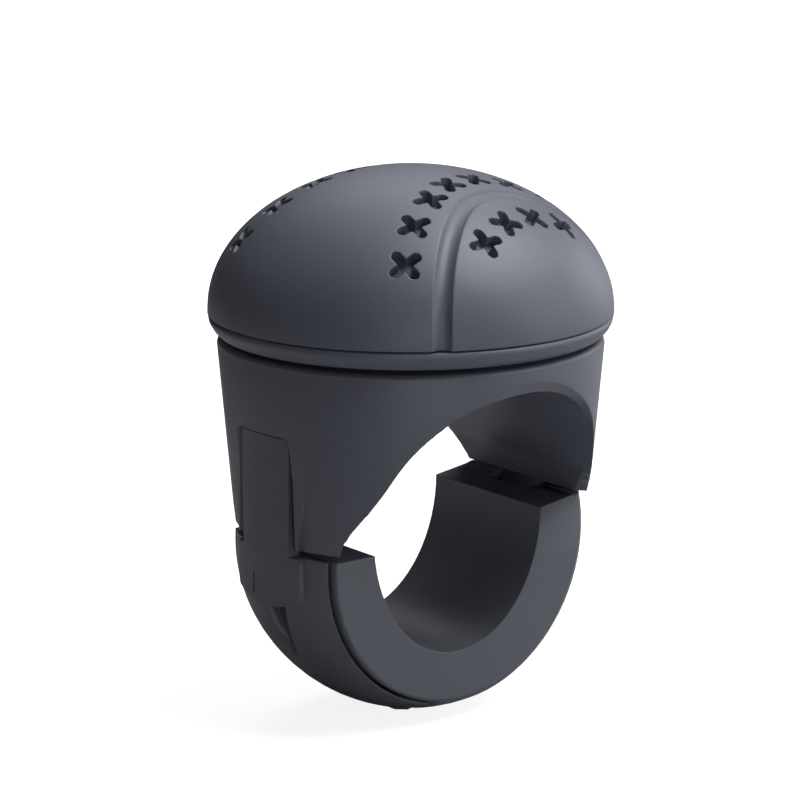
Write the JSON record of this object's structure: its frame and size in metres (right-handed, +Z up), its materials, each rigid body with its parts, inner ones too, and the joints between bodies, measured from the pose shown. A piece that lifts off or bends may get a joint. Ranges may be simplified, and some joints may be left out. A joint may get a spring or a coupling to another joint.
{
  "type": "steering wheel spinner knob",
  "caption": "Domed hand knob that spins on a ball bearing above an arched clamp with a hinged lower ring and a latch strap, for gripping the rim of a steering wheel.",
  "frame": {"origin": "centre of the bore that grips the wheel rim, on the knob's vertical axis", "axes": "+Z up along the knob's axis to the dome, Y along the bore for the rim, -X towards the latch, +X towards the hinge"},
  "size_m": [0.0562, 0.0562, 0.0764],
  "materials": {
    "graphite_shell": "satin moulded",
    "graphite_clamp": "satin moulded",
    "bearing_steel": "ground",
    "zinc_plated_steel": "zinc plated",
    "nylon_cage": "moulded"
  },
  "bodies": {
    "holder": {"holder": "graphite_shell", "axle_screw": "zinc_plated_steel", "axle_washer": "zinc_plated_steel", "axle_nut": "zinc_plated_steel", "bearing_inner_race": "bearing_steel"},
    "knob": {"knob_cover": "graphite_shell", "knob_base": "graphite_shell", "base_screw_1": "zinc_plated_steel", "base_screw_2": "zinc_plated_steel", "base_screw_3": "zinc_plated_steel", "bearing_outer_race": "bearing_steel", "bearing_lower_shield": "bearing_steel", "bearing_upper_shield": "bearing_steel", "bearing_retaining_ring": "bearing_steel"},
    "cage": {"bearing_cage": "nylon_cage", "bearing_ball_1": "bearing_steel", "bearing_ball_2": "bearing_steel", "bearing_ball_3": "bearing_steel", "bearing_ball_4": "bearing_steel", "bearing_ball_5": "bearing_steel", "bearing_ball_6": "bearing_steel", "bearing_ball_7": "bearing_steel"},
    "clamp": {"clamp_ring": "graphite_clamp", "hinge_pin": "zinc_plated_steel", "latch_pin": "zinc_plated_steel"},
    "latch": {"latch_strap": "graphite_clamp"}
  },
  "joints": [
    {"name": "knob_spin", "type": "hinge", "parent": "holder", "child": "knob", "pos_m": [0, 0, 0.03], "axis": [0, 0, 1], "continuous": true},
    {"name": "cage_spin", "type": "hinge", "parent": "holder", "child": "cage", "pos_m": [0, 0, 0.03], "axis": [0, 0, 1], "continuous": true},
    {"name": "clamp_swing", "type": "hinge", "parent": "holder", "child": "clamp", "pos_m": [0.02095, 0, -0.0031], "axis": [0, -1, 0], "range_deg": [0, 55]},
    {"name": "latch_swing", "type": "hinge", "parent": "clamp", "child": "latch", "pos_m": [-0.0016, 0, -0.024], "axis": [0, -1, 0], "range_deg": [0, 15]}
  ],
  "couplings": [
    {"joint": "cage_spin", "follows": "knob_spin", "ratio": 0.64}
  ]
}
